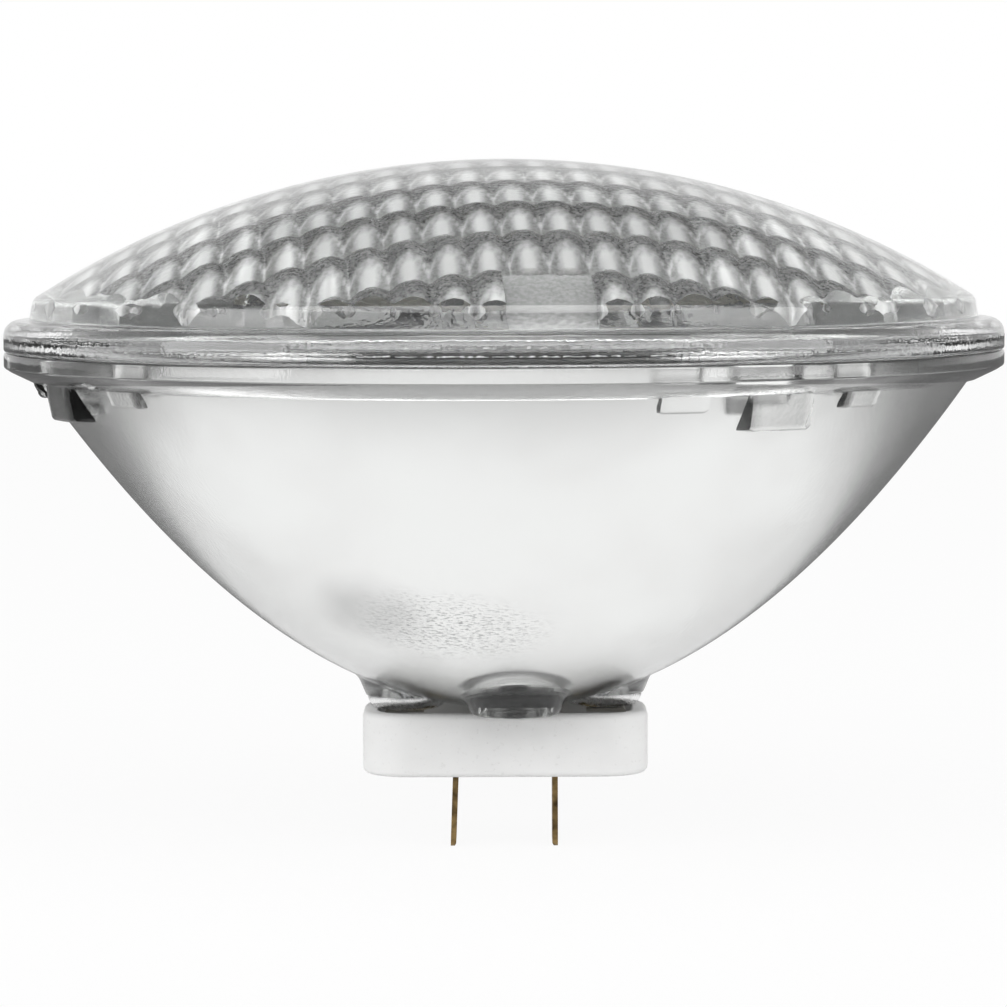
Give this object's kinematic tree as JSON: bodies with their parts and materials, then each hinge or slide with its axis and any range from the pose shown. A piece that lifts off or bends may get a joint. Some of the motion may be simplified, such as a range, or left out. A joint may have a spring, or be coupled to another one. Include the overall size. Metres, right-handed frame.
{
  "type": "sealed beam spotlight lamp",
  "caption": "Round sealed-beam spotlight lamp: domed pressed-glass lens with a grid of cells, silvered glass bowl, white ceramic base and two flat contact blades.",
  "frame": {"origin": "middle of the ceramic base's flat underside, on the lamp's axis, where the base seats in a socket", "axes": "+Z from the base to the lens; +X through both contact blades, so +X is to the picture's right; -Y towards the picture's camera"},
  "size_m": [0.1778, 0.1778, 0.1233],
  "materials": {
    "white_ceramic": "matt unglazed white with faint specks",
    "silvered_glass": "pressed glass with an aluminium mirror on its inside",
    "clear_glass": "clear pressed glass",
    "steatite": "matt off-white",
    "tungsten": "dull grey drawn wire",
    "blade_brass": "dull tarnished brass",
    "strap_nickel": "satin nickel",
    "rivet_brass": "satin brass",
    "solder_tin": "satin grey",
    "ferrule_steel": "bright nickel-plated steel",
    "post_steel": "satin drawn rod"
  },
  "bodies": {
    "root": {"ceramic_base": "white_ceramic", "reflector": "silvered_glass", "lens": "clear_glass", "exhaust_tip": "clear_glass", "bridge_bead": "steatite", "filament": "tungsten", "contact_blade_left": "blade_brass", "contact_blade_right": "blade_brass", "terminal_strap_left": "strap_nickel", "terminal_strap_right": "strap_nickel", "blade_rivet_left": "rivet_brass", "blade_rivet_right": "rivet_brass", "solder_left": "solder_tin", "solder_right": "solder_tin", "ferrule_left": "ferrule_steel", "ferrule_right": "ferrule_steel", "lead_post_left": "post_steel", "lead_post_right": "post_steel", "filament_sleeve_left": "post_steel", "filament_sleeve_right": "post_steel", "filament_support_left": "tungsten", "filament_support_right": "tungsten"}
  },
  "joints": []
}
